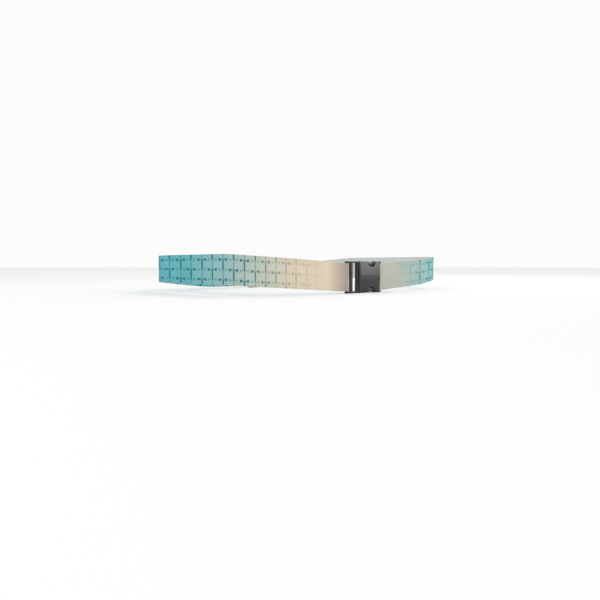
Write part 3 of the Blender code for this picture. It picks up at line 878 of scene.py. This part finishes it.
def socket_piece(material):
    """The hollow half of the buckle, with mouth, latch windows, thumb notches and webbing bar."""
    body = socket_blank()
    cavity = block("cavity", (MOUTH_X - 5 * MM, front(-CAVITY_OUT), MID_Z - CAVITY_HALF),
                   (SOCKET_END_X - SOCKET_END_WALL, front(CAVITY_IN), MID_Z + CAVITY_HALF), 0.4 * MM)
    combine(body, cavity, "DIFFERENCE")
    half = CAVITY_HALF - 0.01 * MM
    lead_in = tapered_block("lead_in",
                            (MOUTH_X - 0.1 * MM, front(-CAVITY_OUT + 0.01 * MM), MID_Z - half),
                            (MOUTH_X + MOUTH_LEAD_IN, front(CAVITY_IN - 0.01 * MM), MID_Z + half),
                            0, 0.55 * MM)
    combine(body, lead_in, "DIFFERENCE")
    window = block("window", (NOTCH_X - WINDOW_HALF, front(-CAVITY_OUT + FIT_GAP), MID_Z - FRAME_WIDTH),
                   (NOTCH_X + WINDOW_HALF, front(CAVITY_IN - FIT_GAP), MID_Z + FRAME_WIDTH), 0.8 * MM)
    combine(body, window, "DIFFERENCE")
    front_edge, back_edge = NOTCH_CHAMFER_START
    profile = [(front_edge - 4 * MM, NOTCH_RADIUS + 4 * MM), (front_edge, NOTCH_RADIUS),
               (back_edge, NOTCH_RADIUS), (back_edge + 3 * MM, NOTCH_RADIUS + 3 * MM)]
    for side in (1, -1):
        notch = turned_along_y("notch", (NOTCH_X, front(0), MID_Z + side * NOTCH_CENTRE), profile)
        combine(body, notch, "DIFFERENCE")
    face = -SOCKET_FACE - SOCKET_CROWN
    channel = tapered_block("channel",
                            (MOUTH_X + 4.5 * MM, front(face - 0.5 * MM), MID_Z - CHANNEL_HALF),
                            (SOCKET_END_X - 3 * MM, front(face + CHANNEL_DEEP), MID_Z + CHANNEL_HALF),
                            1, CHANNEL_SLOPE)
    combine(body, channel, "DIFFERENCE")
    for i in range(-1, 2):
        z = MID_Z + i * POCKET_PITCH
        pocket = block("pocket", (MOUTH_X + 7 * MM, front(SOCKET_BACK - POCKET_DEEP), z - POCKET_HALF),
                       (MOUTH_X + 24 * MM, front(SOCKET_BACK + 1 * MM), z + POCKET_HALF), 0.5 * MM)
        combine(body, pocket, "DIFFERENCE")
    for side in (1, -1):
        inner, outer = sorted((side * RAIL_INNER, side * (FRAME_WIDTH / 2 - SOCKET_RAIL_INSET)))
        rail = block("rail", (SOCKET_END_X - 2 * MM, front(SOCKET_RAIL_DEPTHS[0]), MID_Z + inner),
                     (SOCKET_RAIL_END_X, front(SOCKET_RAIL_DEPTHS[1]), MID_Z + outer), 1.1 * MM, 5)
        combine(body, rail, "UNION")
    combine(body, webbing_bar("bar", SOCKET_BAR_X, front(BAR_TURN), BAR_THICK), "UNION")
    return finish_moulding(body, "buckle_socket", material)


def plug_piece(material):
    """The plug without its arms: rails, webbing bar, ribbed bar, base and centre tongue."""
    reach = RAIL_INNER + RAIL / 2
    body = block("plug", (RIBBED_BAR[0], front(RIBBED_DEPTHS[0]), MID_Z - reach),
                 (RIBBED_BAR[1], front(RIBBED_DEPTHS[1]), MID_Z + reach), 0.7 * MM)
    rail_ys = [front(depth) for depth in PLUG_RAIL_DEPTHS]
    for side in (1, -1):
        rail = side_rail("rail", side, (PLUG_LEFT_X, PLUG_RIGHT_X), rail_ys, 1.25 * MM)
        combine(body, rail, "UNION")
    for i in range(RIB_COUNT):
        z = MID_Z + (i - (RIB_COUNT - 1) / 2) * RIB_PITCH
        rib = block("rib",
                    (RIBBED_BAR[0] + RIB_INSET, front(RIBBED_DEPTHS[0] - RIB_PROUD), z - RIB_PITCH / 4),
                    (RIBBED_BAR[1] - RIB_INSET, front(0), z + RIB_PITCH / 4), 0.6 * MM)
        combine(body, rib, "UNION")
    combine(body, webbing_bar("bar", PLUG_BAR_X, front(BAR_TURN), BAR_THICK), "UNION")
    neck = block("neck", (PLUG_BASE[0], front(PLUG_NECK_DEPTHS[0]), MID_Z - reach),
                 (PLUG_RIGHT_X - 0.1 * MM, front(PLUG_NECK_DEPTHS[1]), MID_Z + reach), 0.3 * MM)
    combine(body, neck, "UNION")
    base_half = CAVITY_HALF - BASE_CLEAR
    base = block("base",
                 (PLUG_BASE[0] + 0.5 * MM, front(-CAVITY_OUT + BASE_CLEAR), MID_Z - base_half),
                 (PLUG_BASE[1], front(CAVITY_IN - BASE_CLEAR), MID_Z + base_half), 0.5 * MM)
    combine(body, base, "UNION")
    tongue = block("tongue", (PLUG_BASE[1] - 2 * MM, front(TONGUE_DEPTHS[0]), MID_Z - TONGUE_HALF),
                   (TONGUE_END_X, front(TONGUE_DEPTHS[1]), MID_Z + TONGUE_HALF), 1.6 * MM, 5)
    combine(body, tongue, "UNION")
    for depth in TONGUE_DEPTHS:
        hollow = block("hollow",
                       (PLUG_BASE[1] + 2 * MM, front(depth) - TONGUE_HOLLOW, MID_Z - TONGUE_HALF + 2 * MM),
                       (TONGUE_END_X - 3 * MM, front(depth) + TONGUE_HOLLOW, MID_Z + TONGUE_HALF - 2 * MM),
                       0.8 * MM)
        combine(body, hollow, "DIFFERENCE")
    return finish_moulding(body, "buckle_plug", material)


def arm_outline():
    """(along, out) of an arm from its root's centre: root arc, arm, shoulder, head and tip."""
    half = ARM_WIDTH / 2
    shoulder = SHOULDER_X - ARM_ROOT_X
    tip = ARM_TIP_X - ARM_ROOT_X
    head_out = HEAD_OUT - ARM_Z
    rows = []
    for i in range(17):
        angle = math.pi / 2 + math.pi * i / 16
        rows.append((half * math.cos(angle), half * math.sin(angle)))
    rows += [(tip * share, -half) for share in (0.15, 0.3, 0.45, 0.6, 0.75)]
    rows += [(tip - 3 * MM, -half), (tip - 1.8 * MM, -half + 0.35 * MM)]
    rows += [(tip - 1 * MM, -half + 1 * MM), (tip, half)]
    head_length = tip - 1 * MM - shoulder
    for i in range(17):
        share = 1 - i / 16
        rows.append((shoulder + head_length * share, head_out - HEAD_DROP * share ** HEAD_DROP_POWER))
    rows += [(shoulder, half + 0.5 * MM), (shoulder - 0.5 * MM, half)]
    rows += [(shoulder * share, half) for share in (0.8, 0.6, 0.4, 0.2)]
    return rows


def arm_piece(name, side, material):
    """A sprung latch arm with rounded edges and grip ridges on its head."""
    curve = bpy.data.curves.new(name, "CURVE")
    curve.dimensions = "2D"
    curve.fill_mode = "BOTH"
    curve.extrude = ARM_THICK / 2 - ARM_EDGE
    curve.bevel_depth = ARM_EDGE
    curve.bevel_resolution = 3
    curve.offset = -ARM_EDGE
    rows = arm_outline()
    spline = curve.splines.new("POLY")
    spline.points.add(len(rows) - 1)
    for point, (along, out) in zip(spline.points, rows):
        point.co = (along, side * out, 0.0, 1.0)
    spline.use_cyclic_u = True
    outline = bpy.data.objects.new(name, curve)
    bpy.context.scene.collection.objects.link(outline)
    bpy.context.view_layer.update()
    mesh = bpy.data.meshes.new_from_object(outline.evaluated_get(bpy.context.evaluated_depsgraph_get()))
    bpy.data.objects.remove(outline, do_unlink=True)
    shape = bmesh.new()
    shape.from_mesh(mesh)
    bmesh.ops.remove_doubles(shape, verts=shape.verts[:], dist=0.01 * MM)
    bmesh.ops.recalc_face_normals(shape, faces=shape.faces[:])
    place = Matrix.Translation((ARM_ROOT_X, front(ARM_MID), MID_Z + side * ARM_Z))
    place = place @ Matrix.Rotation(math.pi / 2, 4, "X")
    bmesh.ops.transform(shape, matrix=place, verts=shape.verts[:])
    shape.to_mesh(mesh)
    shape.free()
    arm = add_object(name, mesh, None)
    half = ARM_THICK / 2 - 1 * MM
    end, end_radius = half + 0.2 * MM, 0.2 * MM
    profile = [(-end, end_radius), (-half, RIDGE_RADIUS), (half, RIDGE_RADIUS), (end, end_radius)]
    for i in range(RIDGE_COUNT):
        x = RIDGE_FIRST_X + i * RIDGE_PITCH
        share = (x - SHOULDER_X) / (ARM_TIP_X - 1 * MM - SHOULDER_X)
        out = HEAD_OUT - HEAD_DROP * share ** HEAD_DROP_POWER
        ridge = turned_along_y("ridge", (x, front(ARM_MID), MID_Z + side * (out - 0.2 * MM)), profile, 16)
        combine(arm, ridge, "UNION")
    return finish_moulding(arm, name, material)


def slider_piece(material):
    """The adjuster: rounded end bars outside the webbing, a centre bar inside it, and two rails."""
    near = -WEB_HALF_THICK - FIT_GAP
    bar_depth = LAYER_PITCH + SLIDER_TURN
    reach = RAIL_INNER + RAIL / 2
    body = webbing_bar("slider", 0.0, back(bar_depth), SLIDER_BAR_THICK)
    for side in (1, -1):
        rail = side_rail("rail", side, (-SLIDER_HALF, SLIDER_HALF),
                         (back(near - SLIDER_END_THICK), back(bar_depth + SLIDER_BAR_THICK / 2)), 1.25 * MM)
        combine(body, rail, "UNION")
    for side in (-1, 1):
        ends = sorted((side * SLIDER_HALF, side * (SLIDER_HALF - SLIDER_BAR)))
        bar = block("end_bar", (ends[0], back(near), MID_Z - reach),
                    (ends[1], back(near - SLIDER_END_THICK), MID_Z + reach), 1.2 * MM, 6)
        combine(body, bar, "UNION")
    return finish_moulding(body, "slider_adjuster", material)


# ---------------------------------------------------------------- studio

def studio():
    """Pale floor and surroundings, soft lights, and the camera."""
    scene = bpy.context.scene
    scene.view_settings.view_transform = "Standard"
    world = bpy.data.worlds.new("studio")
    world.use_nodes = True
    world.node_tree.nodes["Background"].inputs["Color"].default_value = (1.0, 1.0, 1.0, 1.0)
    world.node_tree.nodes["Background"].inputs["Strength"].default_value = 0.97
    scene.world = world

    floor_nodes = Nodes("pale_floor")
    floor_nodes.shader.inputs["Base Color"].default_value = (0.9, 0.9, 0.9, 1.0)
    floor_nodes.shader.inputs["Roughness"].default_value = 1.0
    floor_nodes.shader.inputs["Specular IOR Level"].default_value = 0.0
    mesh = bpy.data.meshes.new("floor")
    shape = bmesh.new()
    bmesh.ops.create_circle(shape, cap_ends=True, segments=96, radius=12.0)
    shape.to_mesh(mesh)
    shape.free()
    floor = add_object("floor", mesh, floor_nodes.material, (0.0, 0.0, -0.0002))

    def aim(name, light, location):
        """Place a light so that it points at the origin."""
        obj = bpy.data.objects.new(name, light)
        obj.location = location
        obj.rotation_euler = (-Vector(location)).to_track_quat("-Z", "Y").to_euler()
        scene.collection.objects.link(obj)

    def area_light(name, location, size, power):
        light = bpy.data.lights.new(name, "AREA")
        light.shape = "DISK"
        light.size = size
        light.energy = power
        aim(name, light, location)

    key = bpy.data.lights.new("key", "SPOT")
    key.energy = 90.0
    key.shadow_soft_size = 0.4
    key.spot_size = math.radians(14)
    key.spot_blend = 0.5
    aim("key", key, (2.98, -2.83, 0.74))
    area_light("fill", (-1.7, -0.7, 0.8), 1.0, 3.0)
    area_light("top", (1.25, -0.1, 1.4), 0.6, 5.0)

    camera = bpy.data.cameras.new("camera")
    camera.lens = 35.0
    camera.sensor_width = 36.0
    camera.clip_start = 0.05
    obj = bpy.data.objects.new("camera", camera)
    obj.location = (-0.81081, -0.88484, 0.05055)
    obj.rotation_euler = (math.pi / 2 - 0.0601, 0.0, -0.7333)
    scene.collection.objects.link(obj)
    scene.camera = obj


# ---------------------------------------------------------------- assembly

def build():
    studio()
    loop = Loop()
    route = webbing_route(loop)
    printed = webbing_material("printed_webbing_cloth", loop.total)
    plastic = plastic_material("satin_black_plastic")
    thread = thread_material("sewing_thread_twist")

    def webbing(name, start, end):
        return webbing_piece(name, route.piece(start, end), loop.total, printed)

    outer = webbing("webbing_outer_layer", None, "front_cut")
    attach(outer, "strap")
    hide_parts("webbing_socket_run", "webbing_right_side", "webbing_back_run", "webbing_left_side")
    inner = webbing("webbing_inner_layer", "return_front_cut", "back_cut")
    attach(inner, "strap")
    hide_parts("webbing_return")
    plug_end = webbing("webbing_plug_end", "front_cut", "return_front_cut")
    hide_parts("webbing_front_run", "webbing_return_front", "webbing_plug_loop")
    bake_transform(plug_end)
    slider_end = webbing("webbing_slider_end", "back_cut", None)
    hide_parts("webbing_return_back", "webbing_slider_loop")
    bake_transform(slider_end)

    socket_inside = front(LAYER_PITCH + WEB_HALF_THICK)
    slider_inside = back(2 * LAYER_PITCH + WEB_HALF_THICK)
    seams = (
        ("socket_stitches_outside", SOCKET_SEAM, front(-WEB_HALF_THICK), -1, "strap", "socket_seam"),
        ("socket_stitches_inside", SOCKET_SEAM, socket_inside, 1, "strap", "socket_seam"),
        ("slider_stitches_inside", SLIDER_SEAM, slider_inside, -1, "slider", "slider_seam"),
    )
    for name, span, y, outward, body, node in seams:
        stitches = box_stitches(name, span, y, outward, thread)
        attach(stitches, body)
        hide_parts(node)

    socket = socket_piece(plastic)
    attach(socket, "strap")
    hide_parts("socket_body")
    plug = plug_piece(plastic)
    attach(plug, "plug")
    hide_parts("plug_frame")
    for word, side in (("upper", 1), ("lower", -1)):
        arm = arm_piece("latch_arm_%s_moulded" % word, side, plastic)
        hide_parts("latch_arm_" + word)
        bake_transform(arm)
    slider = slider_piece(plastic)
    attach(slider, "slider")
    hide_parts("slider_frame")


build()
